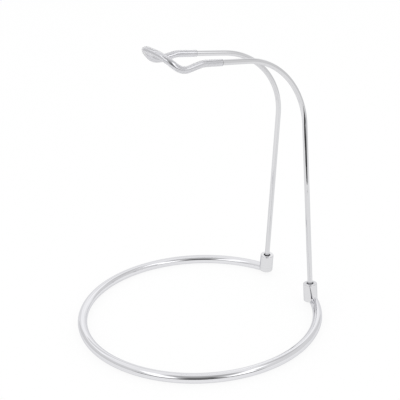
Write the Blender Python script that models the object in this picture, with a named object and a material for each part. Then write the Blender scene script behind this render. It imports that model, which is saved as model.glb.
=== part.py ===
"""Chromed wire stand for one pair of spectacles.

An open ring of thick wire lies on the table. A turned socket closes each of its ends, and one
length of thinner wire plugs into both sockets: it rises as two leaning posts, bends forward into
two arms and meets itself in a nose-shaped bend, which a clear soft sleeve covers.
The front, where the spectacles face, is towards -Y. All lengths are in metres.
"""

from math import acos, cos, hypot, pi, radians, sin, sqrt, tan

import bmesh
import bpy
from mathutils import Matrix, Vector

# Base ring, whose ends lap the sockets' round sides
RING_RADIUS = 0.070
RING_WIRE = 0.0055
RING_LAP = 0.002

# Sockets, whose axes follow the posts
SOCKET_SPACING = 0.0495
SOCKET_INSET = 0.0014
SOCKET_DIAMETER = 0.0084
SOCKET_BOTTOM = 0.0024
SOCKET_LENGTH = 0.0114
SOCKET_EDGE = 0.0006
PLUG_DEPTH = 0.005

# Wire frame: the corners are where its straight runs would meet without bends
FRAME_WIRE = 0.003
BEND_HEIGHT = 0.1492
BEND_SPACING = 0.0190
BEND_SETBACK = 0.0021
BEND_RADIUS = 0.0417
ARM_LENGTH = 0.0671
ARM_RISE = 0.0072
ROOT_SPACING = 0.0290
ROOT_RADIUS = 0.0124
DIP_SPACING = 0.0314
DIP_FORWARD = 0.0130
DIP_DROP = 0.0023
DIP_RADIUS = 0.0083
TIP_SPACING = 0.0250
TIP_FORWARD = 0.0091
TIP_RISE = 0.0090
TIP_RADIUS = 0.0109

# Sleeve over the nose bend
SLEEVE_RUN = 0.0120
SLEEVE_WALL = 0.00028
SLEEVE_CLEARANCE = 0.00012

# Clearances
SEAT_GAP = 0.0003
LIFT_CLEARANCE = 0.0001

# Facets
RING_STEP = radians(5)
BEND_STEP = radians(7.5)
RING_SIDES = 20
FRAME_SIDES = 14
SOCKET_SIDES = 40
EDGE_STEPS = 3

# Places that follow from the sizes above
SOCKET_CIRCLE = RING_RADIUS - SOCKET_INSET
SOCKET_SETBACK = sqrt(SOCKET_CIRCLE**2 - (SOCKET_SPACING / 2) ** 2)
FRONT_REACH = RING_RADIUS + RING_WIRE / 2
POST_LEAN_X = (BEND_SPACING - SOCKET_SPACING) / 2 / BEND_HEIGHT
POST_LEAN_Y = BEND_SETBACK / BEND_HEIGHT
POST_AXIS = Vector((POST_LEAN_X, POST_LEAN_Y, 1)).normalized()
SOCKET_RISE = SOCKET_BOTTOM / POST_AXIS.z
BACK_REACH = (
    SOCKET_SETBACK
    + (SOCKET_RISE + SOCKET_LENGTH - SOCKET_EDGE) * POST_AXIS.y
    + SOCKET_DIAMETER / 2 * hypot(POST_AXIS.x, POST_AXIS.z)
)
RING_Y = (FRONT_REACH - BACK_REACH) / 2
POST_FOOT = Vector((SOCKET_SPACING / 2, RING_Y + SOCKET_SETBACK, 0))
SOCKET_BASE = POST_FOOT + POST_AXIS * SOCKET_RISE
PLUG_END = SOCKET_BASE + POST_AXIS * (SOCKET_LENGTH - PLUG_DEPTH)
LIFT_SWAY = PLUG_DEPTH * hypot(POST_AXIS.x, POST_AXIS.y)
HOLE_DIAMETER = FRAME_WIRE + 2 * (LIFT_SWAY + LIFT_CLEARANCE)
SLEEVE_BORE = FRAME_WIRE + 2 * SLEEVE_CLEARANCE
SLEEVE_DIAMETER = SLEEVE_BORE + 2 * SLEEVE_WALL


def clear_scene():
    for obj in list(bpy.data.objects):
        bpy.data.objects.remove(obj, do_unlink=True)


def material(name, colour, roughness, metallic, alpha=1.0):
    made = bpy.data.materials.new(name)
    made.use_nodes = True
    shader = made.node_tree.nodes["Principled BSDF"]
    shader.inputs["Base Color"].default_value = (*colour, 1)
    shader.inputs["Roughness"].default_value = roughness
    shader.inputs["Metallic"].default_value = metallic
    shader.inputs["Alpha"].default_value = alpha
    return made


def add_object(name, shape, finish=None, smooth_angle=radians(35)):
    """A named object from a bmesh, with its normals facing out and its round faces smooth."""
    bmesh.ops.recalc_face_normals(shape, faces=shape.faces)
    mesh = bpy.data.meshes.new(name)
    shape.to_mesh(mesh)
    shape.free()
    mesh.shade_smooth()
    mesh.set_sharp_from_angle(angle=smooth_angle)
    if finish:
        mesh.materials.append(finish)
    obj = bpy.data.objects.new(name, mesh)
    bpy.context.scene.collection.objects.link(obj)
    return obj


def mirrored(point):
    return Vector((-point.x, point.y, point.z))


def fillet_cuts(corners, radii):
    """How far each corner's bend reaches along its two runs, kept within the runs' lengths."""
    cuts = [0.0]
    for before, corner, after, radius in zip(corners, corners[1:], corners[2:], radii):
        turn = (corner - before).angle(after - corner)
        cuts.append(radius * tan(turn / 2))
    cuts.append(0.0)
    shares = []
    for first, second, near, far in zip(corners, corners[1:], cuts, cuts[1:]):
        shares.append(min(1.0, (second - first).length / max(near + far, 1e-9)))
    return [cut * min(shares[i - 1], shares[i]) for i, cut in enumerate(cuts[1:-1], 1)]


def bent_path(corners, radii):
    """Points along straight runs joined by round bends."""
    points = [corners[0]]
    for i, cut in enumerate(fillet_cuts(corners, radii), 1):
        to_before = (corners[i - 1] - corners[i]).normalized()
        to_after = (corners[i + 1] - corners[i]).normalized()
        half = to_before.angle(to_after) / 2
        radius = cut * tan(half)
        centre = corners[i] + (to_before + to_after).normalized() * radius / sin(half)
        start = corners[i] + to_before * cut - centre
        normal = start.cross(to_after).normalized()
        turn = pi - 2 * half
        count = max(2, round(turn / BEND_STEP))
        for k in range(count + 1):
            points.append(centre + Matrix.Rotation(turn * k / count, 3, normal) @ start)
    points.append(corners[-1])
    return points


def sections(points, diameter, sides, up):
    """Rings of corners of a round section carried along a path without twisting.

    The sides' flats lie on the nominal diameter, and one of them faces straight down where up is +Z.
    """
    corner_radius = diameter / 2 / cos(pi / sides)
    rings = []
    for i, point in enumerate(points):
        ahead = (points[min(i + 1, len(points) - 1)] - point).normalized()
        behind = (point - points[max(i - 1, 0)]).normalized()
        along = (ahead + behind).normalized()
        across = along.cross(up).normalized()
        up = across.cross(along)
        ring = []
        for k in range(sides):
            angle = 2 * pi * (k + 0.5) / sides
            ring.append(point + (up * cos(angle) + across * sin(angle)) * corner_radius)
        rings.append(ring)
    return rings


def bridge(shape, loops):
    """Quads between each two neighbouring loops of vertices."""
    for first, second in zip(loops, loops[1:]):
        for k in range(len(first)):
            n = (k + 1) % len(first)
            shape.faces.new((first[k], first[n], second[n], second[k]))


def swept_wire(points, diameter, sides, up):
    """A solid round wire with flat cut ends."""
    shape = bmesh.new()
    loops = [[shape.verts.new(v) for v in ring] for ring in sections(points, diameter, sides, up)]
    bridge(shape, loops)
    shape.faces.new(loops[0])
    shape.faces.new(loops[-1])
    return shape


def swept_tube(points, diameter, bore, sides, up):
    """An open-ended tube with square cut ends."""
    shape = bmesh.new()
    outside = sections(points, diameter, sides, up)
    inside = sections(points, bore, sides, up)
    loops = [[shape.verts.new(v) for v in ring] for ring in outside + inside[::-1]]
    bridge(shape, loops + loops[:1])
    return shape


def turned(profile, sides):
    """A solid of revolution about Z. The profile starts and ends on the axis."""
    shape = bmesh.new()
    foot, *rims, head = profile
    bottom = shape.verts.new((0, 0, foot[1]))
    top = shape.verts.new((0, 0, head[1]))
    loops = []
    for radius, height in rims:
        angles = [2 * pi * k / sides for k in range(sides)]
        loops.append([shape.verts.new((radius * cos(a), radius * sin(a), height)) for a in angles])
    bridge(shape, loops)
    for k in range(sides):
        n = (k + 1) % sides
        shape.faces.new((bottom, loops[0][n], loops[0][k]))
        shape.faces.new((top, loops[-1][k], loops[-1][n]))
    return shape


def quarter_round(across, height, radius, start):
    """Profile points of a quarter circle round a centre, anticlockwise from a starting angle."""
    angles = [start + pi / 2 * k / EDGE_STEPS for k in range(EDGE_STEPS + 1)]
    return [(across + radius * cos(a), height + radius * sin(a)) for a in angles]


def side_point(point, side):
    return point if side > 0 else mirrored(point)


def stand_on_post_axis(obj, side):
    """Puts an object's own Z axis on the axis of a socket, with its origin at the socket's base."""
    axis = side_point(POST_AXIS, side)
    obj.location = side_point(SOCKET_BASE, side)
    obj.rotation_mode = "QUATERNION"
    obj.rotation_quaternion = Vector((0, 0, 1)).rotation_difference(axis)


def build_socket(name, side, finish):
    """A turned socket with rounded edges and a blind hole that takes the end of a post."""
    outer = SOCKET_DIAMETER / 2
    hole = HOLE_DIAMETER / 2
    edge = min(SOCKET_EDGE, (outer - hole) / 2)
    floor = SOCKET_LENGTH - PLUG_DEPTH - SEAT_GAP
    profile = [(0, 0)]
    profile += quarter_round(outer - edge, edge, edge, -pi / 2)
    profile += quarter_round(outer - edge, SOCKET_LENGTH - edge, edge, 0)
    profile += [(hole, SOCKET_LENGTH), (hole, floor), (0, floor)]
    socket = add_object(name, turned(profile, SOCKET_SIDES), finish)
    stand_on_post_axis(socket, side)
    return socket


def socket_cutter(name, side):
    """The room that a socket needs at the end of the ring, with the gap of the joint round it."""
    radius = SOCKET_DIAMETER / 2 + SEAT_GAP
    below = -SOCKET_BOTTOM - RING_WIRE
    above = SOCKET_LENGTH + RING_WIRE
    profile = [(0, below), (radius, below), (radius, above), (0, above)]
    cutter = add_object(name, turned(profile, SOCKET_SIDES))
    stand_on_post_axis(cutter, side)
    cutter.hide_render = True
    cutter.display_type = "WIRE"
    return cutter


def build_ring(finish):
    """An open ring, coped at both ends to the sockets' round sides."""
    opening = acos(SOCKET_SETBACK / SOCKET_CIRCLE) + (SOCKET_DIAMETER / 2 - RING_LAP) / RING_RADIUS
    sweep = 2 * (pi - opening)
    count = round(sweep / RING_STEP / 2) * 2
    points = []
    for k in range(count + 1):
        angle = pi / 2 + opening + sweep * k / count
        across = RING_RADIUS * cos(angle)
        points.append(Vector((across, RING_Y + RING_RADIUS * sin(angle), RING_WIRE / 2)))
    ring = add_object("base_ring", swept_wire(points, RING_WIRE, RING_SIDES, Vector((0, 0, 1))), finish)
    for name, side in (("left_end_cutter", -1), ("right_end_cutter", 1)):
        cope = ring.modifiers.new(name, "BOOLEAN")
        cope.operation = "DIFFERENCE"
        cope.solver = "EXACT"
        cope.object = socket_cutter(name, side)
    return ring


def frame_corners():
    """Corners of the right half of the wire frame, from the main bend to the nose tip."""
    bend = Vector((BEND_SPACING / 2, POST_FOOT.y + BEND_SETBACK, BEND_HEIGHT))
    root = Vector((ROOT_SPACING / 2, bend.y - ARM_LENGTH, bend.z + ARM_RISE))
    dip = Vector((DIP_SPACING / 2, root.y - DIP_FORWARD, root.z - DIP_DROP))
    tip = Vector((TIP_SPACING / 2, dip.y - TIP_FORWARD, dip.z + TIP_RISE))
    return bend, root, dip, tip


def both_sides(half):
    """A half's list continued by its mirror image."""
    return half + [mirrored(point) for point in reversed(half)]


def build_frame(finish):
    """One wire from socket to socket: post, main bend, arm and nose bend, and back again."""
    corners = both_sides([PLUG_END, *frame_corners()])
    half_radii = [BEND_RADIUS, ROOT_RADIUS, DIP_RADIUS, TIP_RADIUS]
    points = bent_path(corners, half_radii + half_radii[::-1])
    wire = swept_wire(points, FRAME_WIRE, FRAME_SIDES, Vector((0, 1, 0)))
    return add_object("wire_frame", wire, finish)


def build_sleeve(finish):
    """A soft tube over the nose bend, which ends part of the way along each arm."""
    bend, root, dip, tip = frame_corners()
    end = root + (bend - root).normalized() * SLEEVE_RUN
    half_radii = [ROOT_RADIUS, DIP_RADIUS, TIP_RADIUS]
    points = bent_path(both_sides([end, root, dip, tip]), half_radii + half_radii[::-1])
    tube = swept_tube(points, SLEEVE_DIAMETER, SLEEVE_BORE, FRAME_SIDES, Vector((0, 0, 1)))
    return add_object("nose_sleeve", tube, finish)


def main():
    clear_scene()
    build_ring(material("chrome_ring", (0.80, 0.81, 0.82), 0.08, 1.0))
    build_socket("left_socket", -1, material("chrome_left_socket", (0.80, 0.81, 0.82), 0.10, 1.0))
    build_socket("right_socket", 1, material("chrome_right_socket", (0.80, 0.81, 0.82), 0.10, 1.0))
    build_frame(material("chrome_frame", (0.78, 0.79, 0.80), 0.08, 1.0))
    build_sleeve(material("clear_sleeve", (0.86, 0.87, 0.88), 0.20, 0.0, 0.45))


main()
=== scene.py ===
"""Looks of the chromed wire spectacle stand: finished wires, sockets and sleeve in a plain white studio.

The front of the stand faces -Y. All lengths are in metres unless a name says otherwise.
"""

from math import acos, cos, pi, radians, sin, sqrt, tan

import bmesh
import bpy
from mathutils import Matrix, Vector


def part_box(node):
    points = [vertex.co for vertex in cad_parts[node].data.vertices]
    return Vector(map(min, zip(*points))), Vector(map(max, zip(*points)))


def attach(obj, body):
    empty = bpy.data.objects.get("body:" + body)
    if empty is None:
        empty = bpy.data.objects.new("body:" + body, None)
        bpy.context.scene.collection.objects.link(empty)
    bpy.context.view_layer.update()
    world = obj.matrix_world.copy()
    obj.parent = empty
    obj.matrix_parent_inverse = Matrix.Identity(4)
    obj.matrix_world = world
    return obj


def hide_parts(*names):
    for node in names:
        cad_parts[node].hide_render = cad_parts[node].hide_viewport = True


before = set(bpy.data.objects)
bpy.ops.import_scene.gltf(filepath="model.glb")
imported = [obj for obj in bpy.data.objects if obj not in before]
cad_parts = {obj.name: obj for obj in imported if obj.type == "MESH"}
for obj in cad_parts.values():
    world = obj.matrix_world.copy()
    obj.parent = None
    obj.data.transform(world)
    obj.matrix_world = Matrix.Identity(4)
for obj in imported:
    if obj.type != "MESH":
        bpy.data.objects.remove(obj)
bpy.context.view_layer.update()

MM = 0.001

# Sizes of the stand, as in its construction
RING_RADIUS = 0.070
RING_WIRE = 0.0055
SOCKET_SPACING = 0.0495
SOCKET_INSET = 0.0014
SOCKET_DIAMETER = 0.0084
SOCKET_BOTTOM = 0.0024
SOCKET_LENGTH = 0.0114
SOCKET_EDGE = 0.0006
PLUG_DEPTH = 0.005
HOLE_DIAMETER = 0.0042
HOLE_CHAMFER = 0.0002
SEAT_GAP = 0.0003
FRAME_WIRE = 0.003
BEND_HEIGHT = 0.1492
BEND_SPACING = 0.0190
BEND_SETBACK = 0.0021
BEND_RADIUS = 0.0417
ARM_LENGTH = 0.0671
ARM_RISE = 0.0072
ROOT_SPACING = 0.0290
ROOT_RADIUS = 0.0124
DIP_SPACING = 0.0314
DIP_FORWARD = 0.0130
DIP_DROP = 0.0023
DIP_RADIUS = 0.0083
TIP_SPACING = 0.0250
TIP_FORWARD = 0.0091
TIP_RISE = 0.0090
TIP_RADIUS = 0.0109
SLEEVE_RUN = 0.0120
SLEEVE_DIAMETER = 0.0038
SLEEVE_GRIP = 0.00003
SLEEVE_LIP = 0.0001

# The ring's welded ends: where the wire stops before a socket's axis, and the smooth weld over it
RING_END = 0.0005
WELD_REACH = 0.0009
WELD_FROM = radians(20)
WELD_TO = radians(160)
WELD_THINNEST = 0.02
WELD_HALVINGS = 40

# Places that follow from the frame and the sizes
RING_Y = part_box("base_ring")[0].y + RING_RADIUS + RING_WIRE / 2
SOCKET_CIRCLE = RING_RADIUS - SOCKET_INSET
SOCKET_SETBACK = sqrt(SOCKET_CIRCLE**2 - (SOCKET_SPACING / 2) ** 2)
SOCKET_ANGLE = acos(SOCKET_SETBACK / SOCKET_CIRCLE)
POST_LEAN_X = (BEND_SPACING - SOCKET_SPACING) / 2 / BEND_HEIGHT
POST_AXIS = Vector((POST_LEAN_X, BEND_SETBACK / BEND_HEIGHT, 1)).normalized()
POST_FOOT = Vector((SOCKET_SPACING / 2, RING_Y + SOCKET_SETBACK, 0))
SOCKET_BASE = POST_FOOT + POST_AXIS * (SOCKET_BOTTOM / POST_AXIS.z)
PLUG_END = SOCKET_BASE + POST_AXIS * (SOCKET_LENGTH - PLUG_DEPTH)

# Smoothness of the finished surfaces
SHARP_EDGE = radians(40)
BEND_STEP = radians(2)
RING_STEP = radians(1.5)
RING_SIDES = 48
FRAME_SIDES = 36
SOCKET_SIDES = 96
WELD_SIDES = 48
ROUNDING_STEPS = 6

# Camera of the photograph, placed from the middle of the ring
CAMERA_PLACE = Vector((0.38903, RING_Y - 0.21219, 0.25750))
CAMERA_YAW = radians(61.09)
CAMERA_TILT = radians(22.40)
CAMERA_ROLL = radians(-1.89)
CAMERA_LENS_MM = 75.93
CAMERA_SENSOR_MM = 36.0

# Studio directions on the floor: towards the camera, and to the camera's right
NEAR = Vector((CAMERA_PLACE.x, CAMERA_PLACE.y, 0)).normalized()
RIGHT = Vector((-NEAR.y, NEAR.x, 0))
UP = Vector((0, 0, 1))

# The studio: the paper's reach from the stand, the share of its shading that is seen, and the level at
# which the tent lights what isn't a mirror
PAPER_REACH = 3.0
SHADOW_KEPT = 0.14
TENT_LEVEL = 0.95


def linear(hex_colour):
    """An sRGB hex colour as linear RGBA."""
    channels = [int(hex_colour[i : i + 2], 16) / 255 for i in (1, 3, 5)]
    return [c / 12.92 if c <= 0.04045 else ((c + 0.055) / 1.055) ** 2.4 for c in channels] + [1.0]


def add_node(tree, kind, links=None, **settings):
    """One node with its settings, and links from output sockets to its inputs by name or number.

    A setting is a property of the node, or the value of the input of that name, with _ for a space.
    """
    node = tree.nodes.new(kind)
    for name, value in settings.items():
        if hasattr(node, name):
            setattr(node, name, value)
        else:
            node.inputs[name.replace("_", " ")].default_value = value
    for name, output in (links or {}).items():
        tree.links.new(output, node.inputs[name])
    return node


def new_material(name):
    """A node material, its tree and its Principled shader, wired to the output."""
    made = bpy.data.materials.new(name)
    made.use_nodes = True
    return made, made.node_tree, made.node_tree.nodes["Principled BSDF"]


def set_ramp(node, *stops):
    """Positions and sRGB hex colours of a colour ramp's stops."""
    ramp = node.color_ramp
    while len(ramp.elements) < len(stops):
        ramp.elements.new(1.0)
    for element, (position, colour) in zip(ramp.elements, stops):
        element.position = position
        element.color = linear(colour)


def per_mm(x, y=None, z=None):
    """A pattern's scale from its real sizes in millimetres. A size left out is as the one before it."""
    y = y or x
    z = z or y
    return (1 / (x * MM), 1 / (y * MM), 1 / (z * MM))


def chrome_on_drawn_wire(name, dark, light):
    """Bright chrome plate over drawn and polished steel wire.

    The plate mirrors nearly everything, a little bluish. The wire under it keeps faint lines from the die
    along its length, and the polishing leaves slow waves that bend the edges of reflections.
    """
    made, tree, shader = new_material(name)
    shader.inputs["Metallic"].default_value = 1.0
    shader.inputs["Specular Tint"].default_value = linear("#E6E6E8")
    coords = add_node(tree, "ShaderNodeAttribute", attribute_name="as_made").outputs["Vector"]
    # Real die lines are a few hundredths of a millimetre wide; they are drawn coarser so that they show
    die = add_node(tree, "ShaderNodeMapping", {"Vector": coords}, Scale=per_mm(60, 0.9))
    lines = add_node(tree, "ShaderNodeTexNoise", {"Vector": die.outputs["Vector"]}, Scale=1.0)
    tone = add_node(tree, "ShaderNodeValToRGB", {"Fac": lines.outputs["Fac"]})
    set_ramp(tone, (0.35, dark), (0.65, light))
    tree.links.new(tone.outputs["Color"], shader.inputs["Base Color"])
    wiped = add_node(tree, "ShaderNodeMapping", {"Vector": coords}, Scale=per_mm(9))
    clouds = add_node(tree, "ShaderNodeTexNoise", {"Vector": wiped.outputs["Vector"]}, Scale=1.0)
    gloss = add_node(tree, "ShaderNodeMapRange", {"Value": clouds.outputs["Fac"]}, To_Min=0.03, To_Max=0.07)
    tree.links.new(gloss.outputs["Result"], shader.inputs["Roughness"])
    wheel = add_node(tree, "ShaderNodeMapping", {"Vector": coords}, Scale=per_mm(7, 3))
    waves = add_node(tree, "ShaderNodeTexNoise", {"Vector": wheel.outputs["Vector"]}, Scale=1.0, Detail=0.0)
    slow = add_node(tree, "ShaderNodeBump", {"Height": waves.outputs["Fac"]}, Distance=0.05 * MM)
    links = {"Height": lines.outputs["Fac"], "Normal": slow.outputs["Normal"]}
    fine = add_node(tree, "ShaderNodeBump", links, Distance=0.002 * MM)
    tree.links.new(fine.outputs["Normal"], shader.inputs["Normal"])
    return made


def chrome_on_turned_steel():
    """Bright chrome plate over a lathe-turned steel socket.

    The plate mirrors as on the wire, a little duller, and the tool's feed leaves faint rings round it.
    """
    made, tree, shader = new_material("chrome_on_turned_steel")
    shader.inputs["Metallic"].default_value = 1.0
    shader.inputs["Specular Tint"].default_value = linear("#E6E6E8")
    coords = add_node(tree, "ShaderNodeAttribute", attribute_name="as_made").outputs["Vector"]
    # Feed marks are about a tenth of a millimetre apart; they are drawn coarser so that they show
    feed = add_node(tree, "ShaderNodeMapping", {"Vector": coords}, Scale=per_mm(40, 40, 0.45))
    rings = add_node(tree, "ShaderNodeTexNoise", {"Vector": feed.outputs["Vector"]}, Scale=1.0)
    tone = add_node(tree, "ShaderNodeValToRGB", {"Fac": rings.outputs["Fac"]})
    set_ramp(tone, (0.35, "#DBDBDD"), (0.65, "#E0E0E2"))
    tree.links.new(tone.outputs["Color"], shader.inputs["Base Color"])
    wiped = add_node(tree, "ShaderNodeMapping", {"Vector": coords}, Scale=per_mm(4))
    clouds = add_node(tree, "ShaderNodeTexNoise", {"Vector": wiped.outputs["Vector"]}, Scale=1.0)
    gloss = add_node(tree, "ShaderNodeMapRange", {"Value": clouds.outputs["Fac"]}, To_Min=0.04, To_Max=0.09)
    tree.links.new(gloss.outputs["Result"], shader.inputs["Roughness"])
    bump = add_node(tree, "ShaderNodeBump", {"Height": rings.outputs["Fac"]}, Distance=0.002 * MM)
    tree.links.new(bump.outputs["Normal"], shader.inputs["Normal"])
    return made


def clear_soft_pvc():
    """Extruded clear soft PVC tube.

    It is see-through with a faint cool haze, so that the wire shows through it, greyer. Its glossy skin has
    long soft lines from the extruder's die.
    """
    made, tree, shader = new_material("clear_soft_pvc")
    shader.inputs["IOR"].default_value = 1.53
    shader.inputs["Transmission Weight"].default_value = 1.0
    coords = add_node(tree, "ShaderNodeAttribute", attribute_name="as_made").outputs["Vector"]
    mixed = add_node(tree, "ShaderNodeMapping", {"Vector": coords}, Scale=per_mm(8))
    haze = add_node(tree, "ShaderNodeTexNoise", {"Vector": mixed.outputs["Vector"]}, Scale=1.0)
    tone = add_node(tree, "ShaderNodeValToRGB", {"Fac": haze.outputs["Fac"]})
    set_ramp(tone, (0.3, "#F2F2F4"), (0.7, "#F6F6F8"))
    tree.links.new(tone.outputs["Color"], shader.inputs["Base Color"])
    gloss = add_node(tree, "ShaderNodeMapRange", {"Value": haze.outputs["Fac"]}, To_Min=0.0, To_Max=0.01)
    tree.links.new(gloss.outputs["Result"], shader.inputs["Roughness"])
    die = add_node(tree, "ShaderNodeMapping", {"Vector": coords}, Scale=per_mm(30, 1.5))
    lines = add_node(tree, "ShaderNodeTexNoise", {"Vector": die.outputs["Vector"]}, Scale=1.0, Detail=0.0)
    bump = add_node(tree, "ShaderNodeBump", {"Height": lines.outputs["Fac"]}, Distance=0.001 * MM)
    tree.links.new(bump.outputs["Normal"], shader.inputs["Normal"])
    return made


def new_shape():
    """An empty bmesh, and its layer of coordinates on the piece as made: straight, or on the lathe."""
    shape = bmesh.new()
    return shape, shape.verts.layers.float_vector.new("as_made")


def add_piece(name, shape, finish, body, node=None):
    """A finished piece that rides on a body and may stand for a construction node."""
    bmesh.ops.recalc_face_normals(shape, faces=shape.faces)
    mesh = bpy.data.meshes.new(name)
    shape.to_mesh(mesh)
    shape.free()
    mesh.shade_smooth()
    mesh.set_sharp_from_angle(angle=SHARP_EDGE)
    mesh.materials.append(finish)
    piece = bpy.data.objects.new(name, mesh)
    bpy.context.scene.collection.objects.link(piece)
    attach(piece, body)
    if node:
        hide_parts(node)


def mirrored(point):
    """A point or direction on the stand's other side."""
    return Vector((-point.x, point.y, point.z))


def bent_path(corners, radii):
    """Points along straight runs joined by round bends."""
    points = [corners[0]]
    for before, corner, after, radius in zip(corners, corners[1:], corners[2:], radii):
        to_before = (before - corner).normalized()
        to_after = (after - corner).normalized()
        half = to_before.angle(to_after) / 2
        centre = corner + (to_before + to_after).normalized() * radius / sin(half)
        start = corner + to_before * radius / tan(half) - centre
        normal = start.cross(to_after).normalized()
        turn = pi - 2 * half
        count = round(turn / BEND_STEP)
        for k in range(count + 1):
            points.append(centre + Matrix.Rotation(turn * k / count, 3, normal) @ start)
    points.append(corners[-1])
    return points


def carried_frames(points, up):
    """Each point of a path with its run so far, and an upward and a sideways direction carried along."""
    frames, run = [], 0.0
    for i, point in enumerate(points):
        before, after = points[max(i - 1, 0)], points[min(i + 1, len(points) - 1)]
        along = ((after - point).normalized() + (point - before).normalized()).normalized()
        across = along.cross(up).normalized()
        up = across.cross(along)
        run += (point - before).length
        frames.append((point, run, up, across))
    return frames


def add_loop(shape, layer, place, radius, sides):
    """A round loop of vertices square to a path."""
    point, run, up, across = place
    loop = []
    for k in range(sides):
        rise, reach = radius * cos(2 * pi * k / sides), radius * sin(2 * pi * k / sides)
        vertex = shape.verts.new(point + up * rise + across * reach)
        vertex[layer] = (run, rise, reach)
        loop.append(vertex)
    return loop


def bridge(shape, loops):
    """Quads between each two neighbouring loops of vertices."""
    for first, second in zip(loops, loops[1:]):
        for k in range(len(first)):
            n = (k + 1) % len(first)
            shape.faces.new((first[k], first[n], second[n], second[k]))


def swept_wire(points, diameter, sides, up):
    """A round wire along a path, with flat cut ends."""
    shape, layer = new_shape()
    loops = [add_loop(shape, layer, place, diameter / 2, sides) for place in carried_frames(points, up)]
    bridge(shape, loops)
    shape.faces.new(loops[0])
    shape.faces.new(loops[-1])
    return shape


def swept_tube(points, outer, inner, lip, sides, up):
    """An open tube along a path, with rounded lips at its cut ends."""
    shape, layer = new_shape()
    places = carried_frames(points, up)
    length = places[-1][1]
    outside, inside = [], []
    for place in places:
        to_end = min(place[1], length - place[1])
        rounding = lip - sqrt(max(0.0, lip**2 - max(0.0, lip - to_end) ** 2))
        outside.append(add_loop(shape, layer, place, outer / 2 - rounding, sides))
        inside.append(add_loop(shape, layer, place, inner / 2, sides))
    bridge(shape, outside + inside[::-1] + outside[:1])
    return shape


def turned(profile, sides):
    """A solid of revolution about Z. The profile starts and ends on the axis."""
    shape, layer = new_shape()
    (_, foot), *rims, (_, head) = profile
    x_axis, y_axis = Vector((1, 0, 0)), Vector((0, 1, 0))
    loops = [add_loop(shape, layer, (UP * height, 0, x_axis, y_axis), r, sides) for r, height in rims]
    bridge(shape, loops)
    for height, loop in ((foot, loops[0]), (head, loops[-1])):
        centre = shape.verts.new((0, 0, height))
        for k in range(sides):
            shape.faces.new((centre, loop[k], loop[(k + 1) % sides]))
    for vertex in shape.verts:
        vertex[layer] = vertex.co
    return shape


def quarter_round(across, height, radius):
    """Profile points of a quarter circle round a centre, from facing down to facing out."""
    angles = [pi / 2 * k / ROUNDING_STEPS - pi / 2 for k in range(ROUNDING_STEPS + 1)]
    return [(across + radius * cos(a), height + radius * sin(a)) for a in angles]


def build_socket(name, node, side, finish):
    """A turned socket with rounded edges and a chamfered blind hole round the post."""
    outer, hole, edge = SOCKET_DIAMETER / 2, HOLE_DIAMETER / 2, SOCKET_EDGE
    floor = SOCKET_LENGTH - PLUG_DEPTH - SEAT_GAP
    lower = quarter_round(outer - edge, edge, edge)
    upper = [(across, SOCKET_LENGTH - height) for across, height in reversed(lower)]
    mouth = [(hole + HOLE_CHAMFER, SOCKET_LENGTH), (hole, SOCKET_LENGTH - HOLE_CHAMFER)]
    shape = turned([(0, 0), *lower, *upper, *mouth, (hole, floor), (0, floor)], SOCKET_SIDES)
    axis, base = (POST_AXIS, SOCKET_BASE) if side > 0 else (mirrored(POST_AXIS), mirrored(SOCKET_BASE))
    lean = UP.rotation_difference(axis).to_matrix().to_4x4()
    bmesh.ops.transform(shape, matrix=Matrix.Translation(base) @ lean, verts=shape.verts)
    add_piece(name, shape, finish, "base", node)


def ring_point(turn, angle=0.0, radius=0.0):
    """A point by its turn from the ring's back towards +X, and its angle round the wire from outside."""
    outward = Vector((sin(turn), cos(turn), 0))
    centre = outward * RING_RADIUS + Vector((0, RING_Y, RING_WIRE / 2))
    return centre + (outward * cos(angle) + UP * sin(angle)) * radius


def build_ring(finish):
    """The open ring, whose ends stop inside the sockets' sides."""
    opening = SOCKET_ANGLE + RING_END / RING_RADIUS
    sweep = 2 * (pi - opening)
    count = round(sweep / RING_STEP)
    points = [ring_point(opening + sweep * k / count) for k in range(count + 1)]
    shape = swept_wire(points, RING_WIRE, RING_SIDES, UP)
    add_piece("base_ring_wire", shape, finish, "base", "base_ring")


def off_socket_axis(point):
    """The part of a point's place that is square to the right socket's axis."""
    offset = point - SOCKET_BASE
    return offset - POST_AXIS * offset.dot(POST_AXIS)


def turn_at_socket(angle):
    """Where a line along the ring's wire meets the right socket's side, by halving."""
    inside, outside = SOCKET_ANGLE, SOCKET_ANGLE + SOCKET_DIAMETER / RING_RADIUS
    for _ in range(WELD_HALVINGS):
        middle = (inside + outside) / 2
        if off_socket_axis(ring_point(middle, angle, RING_WIRE / 2)).length < SOCKET_DIAMETER / 2:
            inside = middle
        else:
            outside = middle
    return outside


def weld_section(angle, reach):
    """A hollow curve from the wire to the socket's side, closed under both skins."""
    turn = turn_at_socket(angle)
    corner = ring_point(turn, angle, RING_WIRE / 2)
    on_wire = ring_point(turn + reach / RING_RADIUS, angle, RING_WIRE / 2)
    out_of_wire = (corner - ring_point(turn)).normalized()
    out_of_socket = off_socket_axis(corner).normalized()
    along_socket = (out_of_wire - out_of_socket * out_of_wire.dot(out_of_socket)).normalized()
    on_socket = corner + along_socket * reach
    on_socket += off_socket_axis(on_socket) * (SOCKET_DIAMETER / 2 / off_socket_axis(on_socket).length - 1)
    section = []
    for k in range(ROUNDING_STEPS + 1):
        s = k / ROUNDING_STEPS
        section.append(on_wire * (1 - s) ** 2 + corner * 2 * s * (1 - s) + on_socket * s**2)
    section.append(corner - (out_of_wire + out_of_socket) * reach / 2)
    return section


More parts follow.
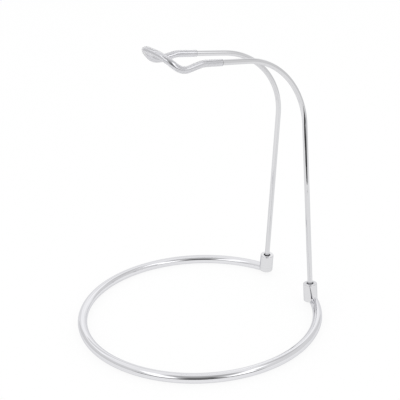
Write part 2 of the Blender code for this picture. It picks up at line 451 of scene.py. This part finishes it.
def build_weld(name, side, finish):
    """The smooth weld over the end of the ring's wire, which runs out at both sides."""
    shape, layer = new_shape()
    loops = []
    for k in range(WELD_SIDES + 1):
        share = k / WELD_SIDES
        reach = WELD_REACH * max(WELD_THINNEST, sqrt(sin(pi * share)))
        section = weld_section(WELD_FROM + (WELD_TO - WELD_FROM) * share, reach)
        loops.append([shape.verts.new(p if side > 0 else mirrored(p)) for p in section])
    bridge(shape, loops)
    shape.faces.new(loops[0])
    shape.faces.new(loops[-1])
    for vertex in shape.verts:
        vertex[layer] = vertex.co
    add_piece(name, shape, finish, "base")


def frame_corners():
    """Corners of the right half of the wire frame, from the main bend to the nose tip."""
    bend = Vector((BEND_SPACING / 2, POST_FOOT.y + BEND_SETBACK, BEND_HEIGHT))
    root = Vector((ROOT_SPACING / 2, bend.y - ARM_LENGTH, bend.z + ARM_RISE))
    dip = Vector((DIP_SPACING / 2, root.y - DIP_FORWARD, root.z - DIP_DROP))
    tip = Vector((TIP_SPACING / 2, dip.y - TIP_FORWARD, dip.z + TIP_RISE))
    return bend, root, dip, tip


def both_sides(half):
    """A half's list continued by its mirror image."""
    return half + [mirrored(point) for point in reversed(half)]


def build_frame(finish):
    """One wire from socket to socket."""
    half_radii = [BEND_RADIUS, ROOT_RADIUS, DIP_RADIUS, TIP_RADIUS]
    points = bent_path(both_sides([PLUG_END, *frame_corners()]), half_radii + half_radii[::-1])
    shape = swept_wire(points, FRAME_WIRE, FRAME_SIDES, Vector((0, 1, 0)))
    add_piece("frame_wire", shape, finish, "frame", "wire_frame")


def build_sleeve(finish):
    """The soft tube over the nose bend, with rounded cut ends. It grips the wire, so that no air shows."""
    bend, root, dip, tip = frame_corners()
    along_arm = (bend - root).normalized()
    end = root + along_arm * SLEEVE_RUN
    half_radii = [ROOT_RADIUS, DIP_RADIUS, TIP_RADIUS]
    bends = bent_path(both_sides([end, root, dip, tip]), half_radii + half_radii[::-1])
    lip = [end - along_arm * SLEEVE_LIP * k / ROUNDING_STEPS for k in range(1, ROUNDING_STEPS + 1)]
    points = [end, *lip, *bends[1:-1], *(mirrored(p) for p in reversed(lip)), mirrored(end)]
    bore = FRAME_WIRE - SLEEVE_GRIP
    shape = swept_tube(points, SLEEVE_DIAMETER, bore, SLEEVE_LIP, FRAME_SIDES, UP)
    add_piece("nose_sleeve_tube", shape, finish, "frame", "nose_sleeve")


def background_rays(tree):
    """1 for the rays that see the background itself: camera, mirror and see-through rays."""
    rays = add_node(tree, "ShaderNodeLightPath").outputs
    mirror = add_node(
        tree, "ShaderNodeMath", {0: rays["Is Camera Ray"], 1: rays["Is Glossy Ray"]}, operation="MAXIMUM"
    )
    links = {0: mirror.outputs["Value"], 1: rays["Is Transmission Ray"]}
    return add_node(tree, "ShaderNodeMath", links, operation="MAXIMUM").outputs["Value"]


def white_paper():
    """Matt white paper, pressed from pulp.

    It is seen as pure white, with the stand's faint shadow and a soft mottle of the pulp left in.
    """
    made, tree, shader = new_material("white_paper")
    shader.inputs["Roughness"].default_value = 0.9
    coords = add_node(tree, "ShaderNodeTexCoord").outputs["Object"]
    pulp = add_node(tree, "ShaderNodeMapping", {"Vector": coords}, Scale=per_mm(3))
    grain = add_node(tree, "ShaderNodeTexNoise", {"Vector": pulp.outputs["Vector"]}, Scale=1.0)
    tone = add_node(tree, "ShaderNodeValToRGB", {"Fac": grain.outputs["Fac"]})
    set_ramp(tone, (0.3, "#FBFBFB"), (0.7, "#FFFFFF"))
    tree.links.new(tone.outputs["Color"], shader.inputs["Base Color"])
    seen = add_node(tree, "ShaderNodeMapRange", {"Value": background_rays(tree)}, To_Max=1 - SHADOW_KEPT)
    glow = add_node(tree, "ShaderNodeEmission", Strength=1.0)
    links = {0: seen.outputs["Result"], 1: shader.outputs["BSDF"], 2: glow.outputs["Emission"]}
    mix = add_node(tree, "ShaderNodeMixShader", links)
    tree.links.new(mix.outputs["Shader"], tree.nodes["Material Output"].inputs["Surface"])
    return made


def soft_card(name, hex_colour, fade):
    """A glowing card of one tone, which is no lamp and paints shade, whose edges fade out over a share of
    its half width.
    """
    made, tree, _ = new_material(name)
    place = add_node(tree, "ShaderNodeTexCoord").outputs["Generated"]
    axes = add_node(tree, "ShaderNodeSeparateXYZ", {0: place}).outputs
    masks = []
    for axis in ("X", "Y"):
        edge = add_node(tree, "ShaderNodeMath", {0: axes[axis]}, operation="PINGPONG")
        edge.inputs[1].default_value = 0.5
        soft = add_node(tree, "ShaderNodeMapRange", {"Value": edge.outputs["Value"]}, From_Max=fade / 2)
        soft.interpolation_type = "SMOOTHSTEP"
        masks.append(soft.outputs["Result"])
    mask = add_node(tree, "ShaderNodeMath", {0: masks[0], 1: masks[1]}, operation="MULTIPLY")
    glow = add_node(tree, "ShaderNodeEmission", Color=linear(hex_colour), Strength=1.0)
    clear = add_node(tree, "ShaderNodeBsdfTransparent")
    links = {0: mask.outputs["Value"], 1: clear.outputs["BSDF"], 2: glow.outputs["Emission"]}
    mix = add_node(tree, "ShaderNodeMixShader", links)
    tree.links.new(mix.outputs["Shader"], tree.nodes["Material Output"].inputs["Surface"])
    return made


def add_sheet(name, finish, corner, width, height):
    """A flat stage sheet from its first corner and its two sides."""
    mesh = bpy.data.meshes.new(name)
    x_axis, y_axis = width.normalized(), height.normalized()
    turn = Matrix((x_axis, y_axis, x_axis.cross(y_axis))).transposed().to_4x4()
    across, up = width.length, height.length
    mesh.from_pydata([(0, 0, 0), (across, 0, 0), (across, up, 0), (0, up, 0)], [], [(0, 1, 2, 3)])
    mesh.materials.append(finish)
    sheet = bpy.data.objects.new(name, mesh)
    sheet.matrix_world = Matrix.Translation(corner) @ turn
    bpy.context.scene.collection.objects.link(sheet)
    return sheet


def add_card(name, hex_colour, fade, sheet):
    """A glowing card that only mirrors see, also through the clear sleeve, from its first corner and its
    sides; a painted reflection.
    """
    card = add_sheet(name, soft_card(name, hex_colour, fade), *sheet)
    card.visible_camera = False
    card.visible_diffuse = False
    card.visible_shadow = False


def studio_place(near, right, up):
    """A place by its distances towards the camera, to the camera's right and up."""
    return NEAR * near + RIGHT * right + UP * up


def upright(centre, along, width, height):
    """The first corner and the two sides of an upright sheet round a centre."""
    return centre - along * width / 2 - UP * height / 2, along * width, UP * height


def facing_stand(centre, width, height):
    """The first corner and the two sides of a sheet round a centre, turned to the stand."""
    across = centre.cross(UP).normalized()
    rise = across.cross(centre).normalized()
    return centre - across * width / 2 - rise * height / 2, across * width, rise * height


def build_stage():
    """White paper under the stand, and mirror-only cards inside the white tent that paint reflections of
    shade into the chrome.
    """
    side = 2 * PAPER_REACH
    corner = Vector((-PAPER_REACH, -PAPER_REACH, 0))
    add_sheet("paper", white_paper(), corner, Vector((side, 0, 0)), Vector((0, side, 0)))
    # Painted reflections of the dark room at the camera and the shaded table edge before it make the dark
    # streaks
    room = upright(studio_place(near=0.39, right=-0.01, up=0.16), RIGHT, width=0.36, height=0.6)
    add_card("dark_room_painted_reflection", "#737373", fade=0.66, sheet=room)
    edge = upright(studio_place(near=0.35, right=-0.05, up=-0.005), RIGHT, width=1.1, height=0.165)
    add_card("table_edge_painted_shade", "#454545", fade=0.33, sheet=edge)
    # Painted shade: grey mirror-only cards make the tent's top and walls a little greyer than its back
    # in the chrome, which shapes the round of the wires
    front = facing_stand(studio_place(near=0.35, right=0.0, up=0.57), width=0.74, height=0.45)
    add_card("front_top", "#BFBFBF", fade=0.42, sheet=front)
    right = facing_stand(studio_place(near=-0.25, right=0.6, up=0.7), width=0.72, height=0.85)
    add_card("right_top", "#D4D4D4", fade=0.6, sheet=right)
    back = facing_stand(studio_place(near=-0.59, right=-0.19, up=0.56), width=0.66, height=0.25)
    add_card("back_top", "#E6E6E6", fade=0.5, sheet=back)
    wall = upright(studio_place(near=0.0, right=0.53, up=0.15), NEAR, width=1.15, height=0.83)
    add_card("right_wall", "#E8E8E8", fade=0.15, sheet=wall)
    wall = upright(studio_place(near=-0.07, right=-0.6, up=0.19), NEAR, width=1.28, height=0.57)
    add_card("left_wall", "#E6E6E6", fade=0.09, sheet=wall)


def build_world():
    """An even white studio, seen as pure white."""
    world = bpy.data.worlds.new("white_studio")
    world.use_nodes = True
    tree = world.node_tree
    rays = background_rays(tree)
    level = add_node(tree, "ShaderNodeMapRange", {"Value": rays}, To_Min=TENT_LEVEL, To_Max=1.0)
    sky = tree.nodes["Background"]
    sky.inputs["Color"].default_value = linear("#FFFFFF")
    tree.links.new(level.outputs["Result"], sky.inputs["Strength"])
    bpy.context.scene.world = world


def add_softbox(name, place, width, height, lean, radiance):
    """A flat lamp of a given brightness over the tent's, turned to the stand and leaning to the right."""
    lamp = bpy.data.lights.new(name, "AREA")
    lamp.shape = "RECTANGLE"
    lamp.size = width
    lamp.size_y = height
    lamp.energy = radiance * pi * width * height
    box = bpy.data.objects.new(name, lamp)
    turn = place.to_track_quat("Z", "Y").to_matrix().to_4x4() @ Matrix.Rotation(-lean, 4, "Z")
    box.matrix_world = Matrix.Translation(place) @ turn
    box.visible_camera = False
    bpy.context.scene.collection.objects.link(box)


def build_lights():
    """Leaning strip softboxes left and right of the camera, and a wide one at the back."""
    left = studio_place(near=0.6, right=-0.5, up=0.6)
    add_softbox("left_softbox", left, width=0.36, height=0.9, lean=radians(-27), radiance=0.5)
    right = studio_place(near=0.82, right=0.75, up=0.65)
    add_softbox("right_softbox", right, width=0.47, height=1.36, lean=radians(44), radiance=0.6)
    back = studio_place(near=-0.96, right=-0.15, up=0.87)
    add_softbox("back_softbox", back, width=2.5, height=0.74, lean=0.0, radiance=0.13)


def build_camera():
    """The photograph's camera."""
    lens = bpy.data.cameras.new("photo_camera")
    lens.sensor_width = CAMERA_SENSOR_MM
    lens.lens = CAMERA_LENS_MM
    camera = bpy.data.objects.new("photo_camera", lens)
    turn = Matrix.Rotation(CAMERA_YAW, 4, "Z") @ Matrix.Rotation(pi / 2 - CAMERA_TILT, 4, "X")
    camera.matrix_world = Matrix.Translation(CAMERA_PLACE) @ turn @ Matrix.Rotation(CAMERA_ROLL, 4, "Z")
    bpy.context.scene.collection.objects.link(camera)
    bpy.context.scene.camera = camera


def build_stand():
    """All pieces of the stand in their finishes."""
    ring_wire = chrome_on_drawn_wire("chrome_on_ring_wire", "#DEDEE1", "#E7E7EA")
    frame_wire = chrome_on_drawn_wire("chrome_on_frame_wire", "#D6D6D8", "#DFDFE1")
    socket = chrome_on_turned_steel()
    build_ring(ring_wire)
    for name, side in (("left", -1), ("right", 1)):
        build_socket(f"{name}_socket_turning", f"{name}_socket", side, socket)
        build_weld(f"{name}_weld", side, ring_wire)
    build_frame(frame_wire)
    build_sleeve(clear_soft_pvc())


def main():
    bpy.context.scene.view_settings.view_transform = "Standard"
    build_camera()
    build_world()
    build_lights()
    build_stage()
    build_stand()


main()
